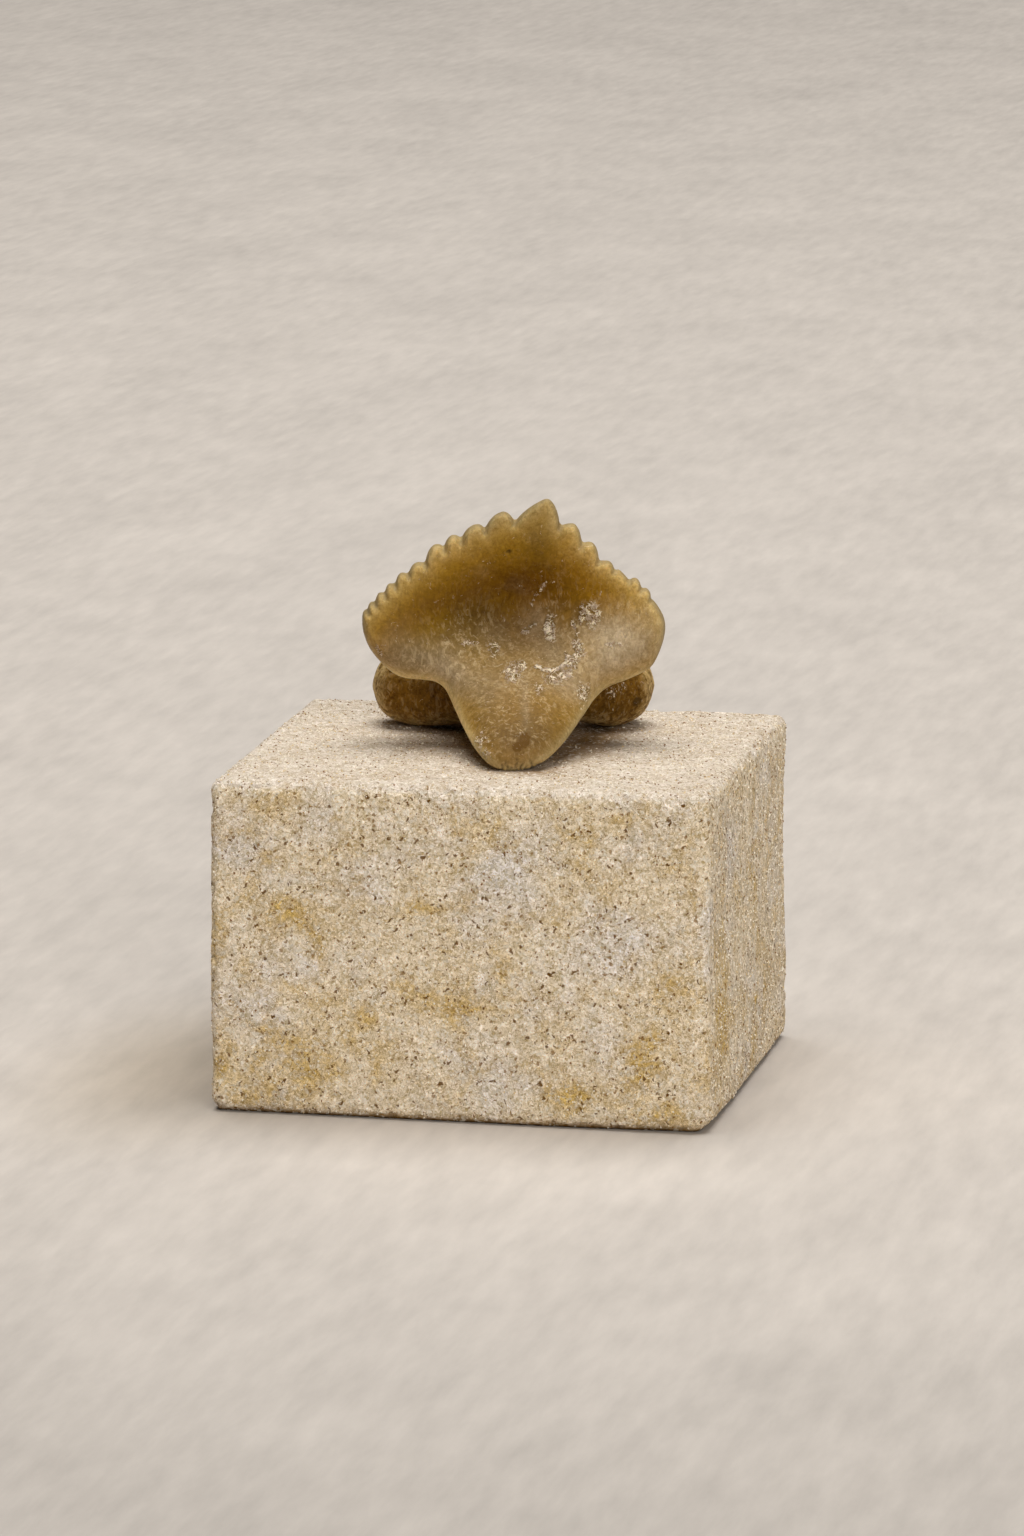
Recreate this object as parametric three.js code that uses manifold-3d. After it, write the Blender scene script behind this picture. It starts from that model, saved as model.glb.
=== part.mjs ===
// A fossil nurse-shark tooth resting on a small sawn block of sandstone.
// Millimetres, +Z up. The origin is the centre of the block's underside; the block's front looks along -Y.
import * as THREE from 'three';
import { mergeVertices } from 'three/addons/utils/BufferGeometryUtils.js';
import Module from 'manifold-3d';

// ---------- driving dimensions ----------
const blockHeight = 27;
// Plan corners of the block, going round from the front left: it is cut by hand, so no two faces are quite square.
const blockTop = [[-19.6, -18.8], [19.9, -17.4], [20.1, 18.8], [-20, 18.4]];
const blockBottom = [[-20.1, -17.5], [20.3, -17.9], [20.3, 18.3], [-20.3, 17.9]];
const blockEdgeRadius = 1; // along the top and the uprights
const blockFootRadius = 0.6;
const blockWornRadius = 1.7; // the front right corner, at its foot
const blockSteps = 12; // faces along each side of the block, three of them round each edge
const blockUnevenness = 0.07;

const toothSpot = [0.92, 0.43]; // the tooth's own origin, on the block's top
const toothTurn = 11.6; // degrees, to the block's right
const cusplets = [
  // Left to right along the crown's rim: tip, the notch after it, and how bowed its left and right sides are.
  { tip: [-11.95, 10.85], notch: [-11.69, 10.85], bow: [0.5, 0.9] },
  { tip: [-11.42, 11.5], notch: [-11.07, 11.4], bow: [0.8, 1] },
  { tip: [-10.66, 12.3], notch: [-10.3, 12.05], bow: [0.9, 1] },
  { tip: [-9.93, 13], notch: [-9.47, 12.75], bow: [0.9, 1] },
  { tip: [-8.98, 13.85], notch: [-8.42, 13.55], bow: [0.9, 1] },
  { tip: [-7.68, 14.65], notch: [-7.08, 14.4], bow: [0.9, 1] },
  { tip: [-6.2, 16.1], notch: [-5.58, 15.65], bow: [0.9, 1] },
  { tip: [-4.85, 16.85], notch: [-4.2, 16.3], bow: [0.9, 1] },
  { tip: [-2.95, 17.75], notch: [-2.32, 17.15], bow: [0.85, 1] },
  { tip: [-0.85, 18.85], notch: [0, 17.8], bow: [0.75, 0.85] },
  { tip: [2.6, 20], notch: [3.65, 17.45], bow: [0.4, 0.9] },
  { tip: [4.65, 17.85], notch: [5.4, 16.0], bow: [0.95, 1] },
  { tip: [6.05, 16.3], notch: [6.77, 14.65], bow: [0.95, 1] },
  { tip: [7.45, 14.75], notch: [8.0, 13.95], bow: [0.9, 1] },
  { tip: [8.35, 14.1], notch: [9.22, 13.2], bow: [0.1, 0.1] },
  { tip: [9.65, 13.45], notch: [10.14, 12.5], bow: [0.9, 1] },
  { tip: [10.46, 12.65], notch: [10.93, 11.85], bow: [0.9, 1] },
];
// From the rim's right end round the right shoulder, the apron and the left shoulder, back to its left end.
const skirt = [
  [11.5, 11.15], [12, 10.1], [12.05, 9], [11.7, 7.6], [11.1, 6.4], [10.2, 5.75], [8.95, 5.2], [7.6, 4.75],
  [6.6, 4.1], [5.25, 2.8], [3.9, 1.6], [2.4, 0.45], [0.7, -0.1], [-1.2, -0.05], [-2.5, 0.65], [-3.7, 2.0],
  [-4.7, 3.4], [-5.5, 4.6], [-6.3, 5.1], [-7.4, 5.25], [-8.6, 5.35], [-9.6, 5.7], [-10.65, 6.6], [-11.6, 7.85],
  [-12.05, 9.2], [-12.12, 10.3],
];
const crownHeart = [0.8, 7.3]; // every point of the crown's outline is seen from here
// Depth of the crown's front and back by height, first on the centre line, then out at the shoulders.
const frontCentre = [[0, -12.2], [0.7, -12], [2, -10.5], [3.5, -8], [5, -5.2], [6.5, -2.6], [8, -0.3], [9, 1],
  [10.3, 1.9], [12, 1.7], [13.5, 1], [15, 0.2], [17, -0.6], [18.5, -1], [20, -1.3]];
const backCentre = [[0, -9.4], [1, -7.9], [2, -5], [3, -1], [4, 2.6], [5.5, 5.6], [7.5, 7], [9, 7], [10.5, 6.4],
  [12, 5.6], [13.5, 4.7], [15, 3.7], [17, 2.2], [18.5, 1], [20, -0.1]];
const frontShoulder = [[4, -1.6], [6, -2.2], [8, -2.5], [10, -2.3], [12, -1.9], [14, -1.5], [18, -1.4]];
const backShoulder = [[4, 1.2], [6, 3], [8, 3.8], [10, 2.6], [12, 0.9], [14, 0.2], [18, 0]];
// How far out the centre line's depth gives way to the shoulders', by height.
const centreWidth = [[2, 12], [4.5, 7.5], [7, 6], [10, 6.5], [14, 8], [20, 9]];
// How far in from the outline the surface takes to round over, at the rim and at the bottom.
const rimRound = 0.9;
const bodyRound = 2.6;
const rimReach = 7; // the rim's rounding gives way to the body's over this depth
// The root, from its left foot over the middle to its right foot: place of the centre, and half sizes up and back.
const rootLine = [
  { at: [-11.5, 9.3, 3.1], up: 0, back: 0 },
  { at: [-10.6, 9.25, 3.05], up: 2.15, back: 2.3 },
  { at: [-8.3, 8.9, 2.95], up: 3, back: 3.3 },
  { at: [-5.5, 7.9, 4], up: 3.6, back: 4 },
  { at: [-2.7, 6.6, 5.6], up: 4.4, back: 4.6 },
  { at: [0.1, 6.1, 6.3], up: 4.7, back: 4.8 },
  { at: [2.9, 6.6, 5.6], up: 4.4, back: 4.6 },
  { at: [5.7, 7.7, 4], up: 3.6, back: 4 },
  { at: [8.3, 8.5, 2.93], up: 3, back: 3.3 },
  { at: [10.5, 8.75, 3.15], up: 2.15, back: 2.3 },
  { at: [11.4, 8.8, 3.25], up: 0, back: 0 },
];
const rootFlatness = 0.75; // 1 leaves the root's underside round
const furrowDepth = 1.1; // the nutrient furrow down the middle of the root's back
const furrowHalfWidth = 1;

// How finely the solids are cut into faces.
const cuspletSteps = 3; // to each side of a tip
const skirtSteps = 58;
const ringShares = [0.22, 0.42, 0.6, 0.75, 0.87, 0.945, 0.985]; // rings between the crown's heart and its outline
const rootSteps = 34;
const rootSides = 18;

// ---------- small helpers ----------
const clamp = (v, lo, hi) => Math.min(hi, Math.max(lo, v));
const mix = (a, b, t) => a + (b - a) * t;
const smooth = (t) => {
  const s = clamp(t, 0, 1);
  return s * s * (3 - 2 * s);
};

// Distance between two points.
const apart = (a, b) => Math.hypot(...a.map((v, k) => v - b[k]));

// A smooth curve through [where, value] pairs, level beyond both ends.
function along(pairs, where) {
  const last = pairs.length - 1;
  if (where <= pairs[0][0]) return pairs[0][1];
  if (where >= pairs[last][0]) return pairs[last][1];
  const i = pairs.findIndex((p) => p[0] > where) - 1;
  const slope = (k) => {
    const [a, b] = [pairs[Math.max(0, k - 1)], pairs[Math.min(last, k + 1)]];
    return (b[1] - a[1]) / (b[0] - a[0]);
  };
  const [p, q] = [pairs[i], pairs[i + 1]];
  const span = q[0] - p[0];
  const t = (where - p[0]) / span;
  return (
    p[1] * (1 + 2 * t) * (1 - t) ** 2 + q[1] * t * t * (3 - 2 * t) +
    span * (slope(i) * t * (1 - t) ** 2 - slope(i + 1) * t * t * (1 - t))
  );
}

function meshFrom(points, faces) {
  const g = new THREE.BufferGeometry();
  g.setAttribute('position', new THREE.Float32BufferAttribute(points.flat(), 3));
  g.setIndex(faces.flat());
  return g;
}

// ---------- solids ----------
const wasm = await Module();
wasm.setup();

function toSolid(geometry) {
  const bare = geometry.clone();
  bare.deleteAttribute('normal');
  bare.deleteAttribute('uv');
  const merged = mergeVertices(bare, 1e-4);
  return new wasm.Manifold(
    new wasm.Mesh({
      numProp: 3,
      vertProperties: new Float32Array(merged.attributes.position.array),
      triVerts: new Uint32Array(merged.index.array),
    }),
  );
}

function toGeometry(solid) {
  const m = solid.getMesh();
  const g = new THREE.BufferGeometry();
  g.setAttribute('position', new THREE.BufferAttribute(new Float32Array(m.vertProperties), 3));
  g.setIndex(new THREE.BufferAttribute(new Uint32Array(m.triVerts), 1));
  g.computeVertexNormals();
  return g;
}

// ---------- the stone block ----------
// Steps across the block from -1 to 1, with the outer three on each side close together, round the edge.
function blockStep(i) {
  const round = 3;
  const edge = 0.9;
  const flat = blockSteps - 2 * round;
  if (i < round) return mix(-1, -edge, i / round);
  if (i > blockSteps - round) return mix(edge, 1, (i - blockSteps + round) / round);
  return mix(-edge, edge, (i - round) / flat);
}

function blockGeometry() {
  const g = new THREE.BoxGeometry(2, 2, 2, blockSteps, blockSteps, blockSteps);
  const pos = g.attributes.position;
  const half = blockHeight / 2;
  for (let i = 0; i < pos.count; i++) {
    const place = [pos.getX(i), pos.getY(i), pos.getZ(i)];
    const unit = place.map((v) => blockStep(Math.round(((v + 1) / 2) * blockSteps)));
    const worn = smooth((unit[0] + 0.2) / 1.2) * smooth((-unit[1] + 0.2) / 1.2) * smooth((-unit[2] + 0.4) / 1.4);
    const radius = mix(mix(blockEdgeRadius, blockFootRadius, smooth(-4 * unit[2] - 2.5)), blockWornRadius, worn);
    // A rounded box, 40 by 36 mm in plan, which the block's corners then pull out of square.
    const size = [20, 18, half];
    const p = unit.map((v, k) => v * size[k]);
    const core = p.map((v, k) => clamp(v, radius - size[k], size[k] - radius));
    const out = new THREE.Vector3(...p.map((v, k) => v - core[k])).normalize().multiplyScalar(radius);
    const q = [core[0] + out.x, core[1] + out.y, core[2] + out.z];
    // Side faces swell and dip a little; the top and the underside stay flat.
    const side = smooth((1 - Math.abs(q[2]) / half) * 4);
    const waves = Math.sin(q[0] / 5.1 + q[2] / 3.7) + Math.sin(q[1] / 4.3 - q[2] / 6.1 + 1);
    const swell = blockUnevenness * side * waves;
    const share = [q[0] / size[0], q[1] / size[1], q[2] / size[2]];
    const [sx, sy, sz] = share.map((v) => (v + 1) / 2);
    const corner = (ring, k) => {
      const near = mix(ring[0][k], ring[1][k], sx);
      const far = mix(ring[3][k], ring[2][k], sx);
      return mix(near, far, sy);
    };
    const plan = [0, 1].map((k) => mix(corner(blockBottom, k), corner(blockTop, k), sz));
    pos.setXYZ(i, plan[0] + swell * share[0] ** 3, plan[1] + swell * share[1] ** 3, q[2] + half);
  }
  return g;
}

// ---------- the crown ----------
// One side of a cusplet, from its notch almost to its tip, between a straight line and a quarter of an ellipse.
function flank(notch, tip, bow) {
  const points = [];
  for (let i = 0; i < cuspletSteps; i++) {
    const t = i / cuspletSteps;
    const angle = (t * Math.PI) / 2;
    const share = [mix(t, 1 - Math.cos(angle), bow), mix(t, Math.sin(angle), bow)];
    points.push(share.map((v, k) => mix(notch[k], tip[k], v)));
  }
  return points;
}

// The crown's outline, and beside it the same points with the cusplets levelled to the line of their notches.
function crownOutlines() {
  const toothed = [];
  const levelled = [];
  let notch = skirt[skirt.length - 1];
  for (const c of cusplets) {
    const up = flank(notch, c.tip, c.bow[0]);
    const down = flank(c.notch, c.tip, c.bow[1]).reverse().slice(0, -1);
    const run = [...up, c.tip, ...down];
    const span = run.length;
    run.forEach((p, i) => {
      toothed.push(p);
      levelled.push([mix(notch[0], c.notch[0], i / span), mix(notch[1], c.notch[1], i / span)]);
    });
    notch = c.notch;
  }
  const bend = new THREE.SplineCurve([notch, ...skirt].map((p) => new THREE.Vector2(...p)));
  for (const p of bend.getSpacedPoints(skirtSteps).slice(0, -1)) {
    toothed.push([p.x, p.y]);
    levelled.push([p.x, p.y]);
  }
  return [toothed, levelled];
}

function distanceTo(outline, x, z) {
  let best = Infinity;
  outline.forEach(([ax, az], i) => {
    const [bx, bz] = outline[(i + 1) % outline.length];
    const [dx, dz] = [bx - ax, bz - az];
    const t = clamp(((x - ax) * dx + (z - az) * dz) / (dx * dx + dz * dz), 0, 1);
    best = Math.min(best, Math.hypot(x - ax - t * dx, z - az - t * dz));
  });
  return best;
}

// Height of the line that the notches stand on, above x.
const rimLine = [[-12.2, 10.3], ...cusplets.map((c) => c.notch), [12.2, 10.3]];

// Depths of the front and the back at a place on the crown, which meet on its outline.
function depths(x, z, fromEdge) {
  const inward = Math.exp(-((x / along(centreWidth, z)) ** 2));
  const front = mix(along(frontShoulder, z), along(frontCentre, z), inward);
  const back = mix(along(backShoulder, z), along(backCentre, z), inward);
  const round = mix(rimRound, bodyRound, smooth((along(rimLine, x) - z) / rimReach));
  const near = clamp(fromEdge / round, 0, 1);
  const full = Math.sqrt(1 - (1 - near) ** 2);
  const middle = (front + back) / 2;
  return [mix(middle, front, full), mix(middle, back, full)];
}

function crownGeometry() {
  const [outline, levelled] = crownOutlines();
  const count = outline.length;
  const front = [];
  const back = [];
  const place = (x, z) => {
    const [ahead, behind] = depths(x, z, distanceTo(outline, x, z));
    front.push([x, ahead, z]);
    back.push([x, behind, z]);
  };
  place(...crownHeart);
  for (const share of ringShares) {
    const toothed = smooth((share - 0.7) / 0.25);
    outline.forEach((edge, i) => {
      const [bx, bz] = edge.map((v, k) => mix(levelled[i][k], v, toothed));
      place(mix(crownHeart[0], bx, share), mix(crownHeart[1], bz, share));
    });
  }
  const inner = front.length;
  const points = [...front, ...back, ...outline.map(([x, z]) => [x, depths(x, z, 0)[0], z])];
  const rings = ringShares.length;
  const faces = [];
  const at = (side, ring, i) => {
    const k = (i + count) % count;
    if (ring === 0) return side * inner;
    return ring > rings ? 2 * inner + k : side * inner + 1 + (ring - 1) * count + k;
  };
  for (const side of [0, 1]) {
    const add = (a, b, c) => faces.push(side ? [a, c, b] : [a, b, c]);
    for (let i = 0; i < count; i++) {
      add(at(side, 0, 0), at(side, 1, i + 1), at(side, 1, i));
      for (let r = 1; r <= rings; r++) {
        const [a, b, c, d] = [at(side, r, i), at(side, r, i + 1), at(side, r + 1, i + 1), at(side, r + 1, i)];
        // Each four-sided patch is split across its shorter way.
        if (apart(points[a], points[c]) < apart(points[b], points[d])) {
          add(a, b, c);
          add(a, c, d);
        } else {
          add(a, b, d);
          add(b, c, d);
        }
      }
    }
  }
  return meshFrom(points, faces);
}

// ---------- the root ----------
function rootGeometry() {
  const places = new THREE.CatmullRomCurve3(rootLine.map((r) => new THREE.Vector3(...r.at)), false, 'centripetal');
  const last = rootLine.length - 1;
  const points = [];
  for (let i = 0; i <= rootSteps; i++) {
    // Steps close up towards both feet, so that their ends come out round.
    const share = (1 - Math.cos((Math.PI * i) / rootSteps)) / 2;
    const t = mix(i / rootSteps, share, 0.6);
    const centre = places.getPoint(t);
    const up = along(rootLine.map((r, k) => [k / last, r.up]), t);
    const back = along(rootLine.map((r, k) => [k / last, r.back]), t);
    const ends = i === 0 || i === rootSteps;
    for (let k = 0; k < (ends ? 1 : rootSides); k++) {
      const angle = (2 * Math.PI * k) / rootSides;
      const [c, s] = [Math.cos(angle), Math.sin(angle)];
      const behind = Math.max(0, c);
      const furrow = furrowDepth * behind * Math.exp(-(((centre.x - 0.2) / furrowHalfWidth) ** 2));
      const rise = s < 0 ? -(Math.abs(s) ** rootFlatness) : s;
      points.push([centre.x, centre.y + back * c - furrow, centre.z + up * rise]);
    }
  }
  const faces = [];
  const end = points.length - 1;
  const at = (ring, k) => {
    if (ring === 0) return 0;
    return ring === rootSteps ? end : 1 + (ring - 1) * rootSides + (k % rootSides);
  };
  for (let ring = 0; ring < rootSteps; ring++) {
    for (let k = 0; k < rootSides; k++) {
      const [a, b, c, d] = [at(ring, k), at(ring, k + 1), at(ring + 1, k + 1), at(ring + 1, k)];
      if (ring > 0) faces.push([a, b, c]);
      if (ring < rootSteps - 1) faces.push([a, c, d]);
    }
  }
  return meshFrom(points, faces);
}

// Crown and root are one piece. It rests on flats worn under the apron's nose and the two feet.
function toothGeometry() {
  const whole = toSolid(crownGeometry()).add(toSolid(rootGeometry()));
  const under = new THREE.BoxGeometry(60, 60, 10);
  under.translate(0, 0, -5);
  return toGeometry(whole.subtract(toSolid(under)));
}

// ---------- the part ----------
const stone = new THREE.MeshStandardMaterial({ color: '#c9b48f', roughness: 0.95, metalness: 0 });
const enamel = new THREE.MeshStandardMaterial({ color: '#8c6a36', roughness: 0.5, metalness: 0 });

const block = new THREE.Mesh(blockGeometry(), stone);
block.name = 'stone_block';

const tooth = new THREE.Mesh(toothGeometry(), enamel);
tooth.name = 'tooth';

const toothGroup = new THREE.Group();
toothGroup.position.set(...toothSpot, blockHeight);
toothGroup.rotation.z = THREE.MathUtils.degToRad(toothTurn);
toothGroup.add(tooth);

const part = new THREE.Group();
part.add(block, toothGroup);

export default part;
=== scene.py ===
import math
from functools import cached_property
import bmesh
import bpy
import numpy as np
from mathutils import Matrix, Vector
from mathutils.kdtree import KDTree


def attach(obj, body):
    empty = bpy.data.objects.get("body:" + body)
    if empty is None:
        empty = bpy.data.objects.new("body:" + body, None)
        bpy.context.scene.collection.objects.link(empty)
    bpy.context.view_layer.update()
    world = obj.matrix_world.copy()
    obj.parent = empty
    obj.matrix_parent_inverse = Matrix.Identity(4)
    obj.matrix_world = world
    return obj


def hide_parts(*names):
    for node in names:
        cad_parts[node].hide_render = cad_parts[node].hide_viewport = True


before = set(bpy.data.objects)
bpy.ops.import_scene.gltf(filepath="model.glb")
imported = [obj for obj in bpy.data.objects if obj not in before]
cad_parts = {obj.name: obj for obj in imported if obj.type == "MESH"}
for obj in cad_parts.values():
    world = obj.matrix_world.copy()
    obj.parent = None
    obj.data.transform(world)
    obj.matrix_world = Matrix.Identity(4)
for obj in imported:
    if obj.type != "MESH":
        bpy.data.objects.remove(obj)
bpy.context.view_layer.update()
print("frame loaded")

mm = 0.001


def along(pairs, where):
    # a smooth curve through [where, value] pairs, level beyond both ends
    xs, ys = np.array(pairs, float).T
    ahead = np.minimum(np.arange(len(xs)) + 1, len(xs) - 1)
    behind = np.maximum(np.arange(len(xs)) - 1, 0)
    slope = (ys[ahead] - ys[behind]) / (xs[ahead] - xs[behind])
    where = np.clip(where, xs[0], xs[-1])
    i = np.clip(np.searchsorted(xs, where, side="right") - 1, 0, len(xs) - 2)
    span = xs[i + 1] - xs[i]
    t = (where - xs[i]) / span
    return (ys[i] * (1 + 2 * t) * (1 - t) ** 2 + ys[i + 1] * t * t * (3 - 2 * t)
            + span * (slope[i] * t * (1 - t) ** 2 - slope[i + 1] * t * t * (1 - t)))


def smooth(t):
    t = np.clip(t, 0, 1)
    return t * t * (3 - 2 * t)


def blend(a, b, t):
    return a + (b - a) * t


def fade(distance, reach):
    # 1 where there is no distance, dying away over the reach
    return np.exp(-(distance / reach) ** 2)


def offLine(places, a, b):
    # how far places are from the straight line between two points
    run = b - a
    t = np.clip((places - a) @ run / max(run @ run, 1e-12), 0, 1)
    return np.hypot(*(places - a - t[:, None] * run).T)


def smoothRun(points, parameter):
    # a Catmull-Rom run through the points, read at 0 to 1
    p = np.array(points, float)
    q = np.vstack([p[:1], p, p[-1:]])
    t = np.asarray(parameter, float) * (len(p) - 1)
    i = np.minimum(t.astype(int), len(p) - 2)
    w = (t - i)[:, None]
    a, b, c, d = q[i], q[i + 1], q[i + 2], q[i + 3]
    v0, v1 = (c - a) / 2, (d - b) / 2
    return (2 * b - 2 * c + v0 + v1) * w ** 3 + (-3 * b + 3 * c - 2 * v0 - v1) * w ** 2 + v0 * w + b


def evenRun(points, count):
    # the same run, cut into equal steps
    fine = smoothRun(points, np.linspace(0, 1, 60 * len(points)))
    length = np.r_[0, np.cumsum(np.hypot(*np.diff(fine, axis=0).T))]
    steps = np.linspace(0, length[-1], count)
    return np.stack([np.interp(steps, length, fine[:, k]) for k in range(fine.shape[1])], 1)


def nearestTree(points):
    tree = KDTree(len(points))
    for i, p in enumerate(points):
        tree.insert(p, i)
    tree.balance()
    return tree


def meshObject(name, points, faces):
    mesh = bpy.data.meshes.new(name)
    mesh.from_pydata(points.tolist(), [], faces)
    mesh.update()
    thing = bpy.data.objects.new(name, mesh)
    bpy.context.collection.objects.link(thing)
    return thing


def meshVectors(vectors, field):
    # one row for each point of a mesh, of its places ("co") or its normals ("vector")
    values = np.empty(len(vectors) * 3)
    vectors.foreach_get(field, values)
    return values.reshape(-1, 3)


def setMeshPoints(mesh, points):
    mesh.vertices.foreach_set("co", points.ravel())
    mesh.update()


def addAttributes(mesh, values):
    for name, value in values.items():
        mesh.attributes.new(name, "FLOAT", "POINT").data.foreach_set("value", np.asarray(value, np.float32))


def settle(thing):
    # turns the evaluated object into a plain mesh and drops its modifiers
    depsgraph = bpy.context.evaluated_depsgraph_get()
    solid = bpy.data.meshes.new_from_object(thing.evaluated_get(depsgraph))
    old = thing.data
    thing.modifiers.clear()
    thing.data = solid
    bpy.data.meshes.remove(old)
    return solid


def relax(points, edges, rounds, steps):
    # draws each point towards the middle of its neighbours
    a, b = edges.T
    count = len(points)
    degree = (np.bincount(a, minlength=count) + np.bincount(b, minlength=count))[:, None]
    for step in steps * rounds:
        total = np.stack([np.bincount(a, points[b, k], count) + np.bincount(b, points[a, k], count)
                          for k in range(3)], 1)
        points = points + step * (total / degree - points)
    return points


def colour(red, green, blue):
    # the shader's own linear values, from a paint chart's 0 to 255
    return tuple(blend(((c / 255 + 0.055) / 1.055) ** 2.4, c / 255 / 12.92, c / 255 < 0.04045)
                 for c in (red, green, blue)) + (1,)


def reportShape(name, points):
    print(name, "shaped,", len(points), "points, box", points.min(0).round(2), points.max(0).round(2))


def fill(tree, node, inputs):
    # gives a node's inputs plain values, or links them to other sockets
    for key, value in inputs.items():
        value = getattr(value, "socket", value)
        if isinstance(value, bpy.types.NodeSocket):
            tree.links.new(value, node.inputs[key])
        else:
            node.inputs[key].default_value = value


class Figure:
    # one output of a node, which can be added and multiplied like a number
    def __init__(self, kit, node, output=0):
        self.kit, self.node, self.output = kit, node, output

    def __getitem__(self, output):
        return Figure(self.kit, self.node, output)

    @property
    def socket(self):
        return self.node.outputs[self.output]

    def work(self, operation, *values):
        return self.kit.add("ShaderNodeMath", dict(enumerate(values)), operation=operation)

    def held(self):
        self.node.use_clamp = True  # between 0 and 1
        return self

    __add__ = __radd__ = lambda self, other: self.work("ADD", self, other)
    __mul__ = __rmul__ = lambda self, other: self.work("MULTIPLY", self, other)
    __sub__ = lambda self, other: self.work("SUBTRACT", self, other)
    __rsub__ = lambda self, other: self.work("SUBTRACT", other, self)
    __abs__ = lambda self: self.work("ABSOLUTE", self)
    least = lambda self, other: self.work("MINIMUM", self, other)
    most = lambda self, other: self.work("MAXIMUM", self, other)


class NodeKit:
    # what patterns are laid with, in materials and in geometry trees
    def __init__(self, tree):
        self.tree, self.shading = tree, tree.type == "SHADER"

    def add(self, kind, inputs=None, **settings):
        node = self.tree.nodes.new(kind)
        for name, value in settings.items():
            setattr(node, name, value)
        fill(self.tree, node, inputs or {})
        return Figure(self, node)

    def vector(self, operation, first, *rest):
        # a sum on whole vectors; SCALE takes its factor last
        inputs = {"Scale": rest[0]} if operation == "SCALE" else dict(enumerate(rest, 1))
        return self.add("ShaderNodeVectorMath", {0: first, **inputs}, operation=operation)

    @cached_property
    def place(self):
        # where a point is on the object, in mm
        kind, output = ("ShaderNodeTexCoord", "Object") if self.shading else ("GeometryNodeInputPosition", 0)
        return self.vector("SCALE", self.add(kind)[output], 1 / mm)

    def turned(self, at, scale, turn=(0, 0, 0), kind="POINT"):
        return self.add("ShaderNodeMapping", {"Vector": at, "Rotation": turn, "Scale": scale}, vector_type=kind)

    def mark(self, name):
        # a mark that was painted on the piece's points
        if self.shading:
            return self.add("ShaderNodeAttribute", attribute_name=name)["Fac"]
        return self.add("GeometryNodeInputNamedAttribute", {"Name": name})

    def noise(self, scale, detail=2, roughness=0.5, twist=0, at=None):
        return self.add("ShaderNodeTexNoise", {
            "Vector": self.place if at is None else at, "Scale": scale, "Detail": detail,
            "Roughness": roughness, "Distortion": twist})

    def cells(self, at, scale, feature="F1"):
        # how far a place is from the middle of its cell
        return self.add("ShaderNodeTexVoronoi", {"Vector": at, "Scale": scale}, feature=feature)

    def dice(self, cells):
        # three throws for each cell
        return self.add("ShaderNodeSeparateColor", {"Color": cells["Color"]})

    def ramp(self, value, low, high, kind="SMOOTHSTEP"):
        # 0 at low and 1 at high, whichever is the greater
        return self.add("ShaderNodeMapRange", {"Value": value, "From Min": low, "From Max": high},
                        interpolation_type=kind)

    def mix(self, base, top, share):
        return self.add("ShaderNodeMix", {0: share, 6: base, 7: top}, data_type="RGBA")[2]

    def coat(self, body, tint, *layers):
        # paints laid over one another, each by its share
        for paint, share in layers:
            body = self.mix(body, tint[paint], share)
        return body

    def toned(self, tone, change):
        # lighter or darker by a share; what is darker is also warmer, and what is lighter is paler
        return self.vector("MULTIPLY", tone, self.vector("MULTIPLY_ADD", change, (1, 1.12, 1.5), (1, 1, 1)))

    def bump(self, height, strength, depth):
        return self.add("ShaderNodeBump", {"Height": height, "Strength": strength, "Distance": depth})

    def pushed(self, surface, lift):
        # the surface, moved out along its normals
        offset = self.vector("SCALE", self.add("GeometryNodeInputNormal"), lift)
        return self.add("GeometryNodeSetPosition", {"Geometry": surface, "Offset": offset})

    def scattered(self, surface, density, shape, least, greatest, size, seed):
        # small shapes over a surface, turned every way and of differing proportions
        def throw(low, high):
            return self.add("FunctionNodeRandomValue", {"Min": low, "Max": high, "Seed": seed},
                            data_type="FLOAT_VECTOR")

        dots = self.add("GeometryNodeDistributePointsOnFaces", {
            "Mesh": surface, "Density": density, "Seed": seed})
        return self.add("GeometryNodeInstanceOnPoints", {
            "Points": dots, "Instance": shape, "Rotation": throw((0, 0, 0), (6.28, 6.28, 6.28)),
            "Scale": self.vector("SCALE", throw(least, greatest), size)})

    def named(self, geometry, name, value, domain):
        # the geometry, with the value kept on it under a name
        return self.add("GeometryNodeStoreNamedAttribute", {"Geometry": geometry, "Name": name, "Value": value},
                        domain=domain)

    def close(self, geometry, material):
        # the end of every tree: real geometry with its material on
        whole = self.add("GeometryNodeRealizeInstances", {"Geometry": geometry})
        whole = self.add("GeometryNodeSetMaterial", {"Geometry": whole, "Material": material})
        self.add("NodeGroupOutput", {"Geometry": whole})
        return self.tree


def geometryTree(name, controls):
    # a tree with one geometry in, one out, and a named input for each control
    tree = bpy.data.node_groups.new(name, "GeometryNodeTree")
    for way in ("INPUT", "OUTPUT"):
        tree.interface.new_socket("Geometry", in_out=way, socket_type="NodeSocketGeometry")
    for label, value in controls.items():
        kind = "NodeSocketInt" if isinstance(value, int) else "NodeSocketFloat"
        tree.interface.new_socket(label, in_out="INPUT", socket_type=kind)
    kit = NodeKit(tree)
    return kit, kit.add("NodeGroupInput")


def runTree(thing, tree, controls):
    modifier = thing.modifiers.new(tree.name, "NODES")
    modifier.node_group = tree
    for item in tree.interface.items_tree:
        if item.name in controls:
            modifier[item.identifier] = controls[item.name]
    settle(thing)


def newMaterial(name):
    material = bpy.data.materials.new(name)
    material.use_nodes = True
    return material, NodeKit(material.node_tree)


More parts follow.
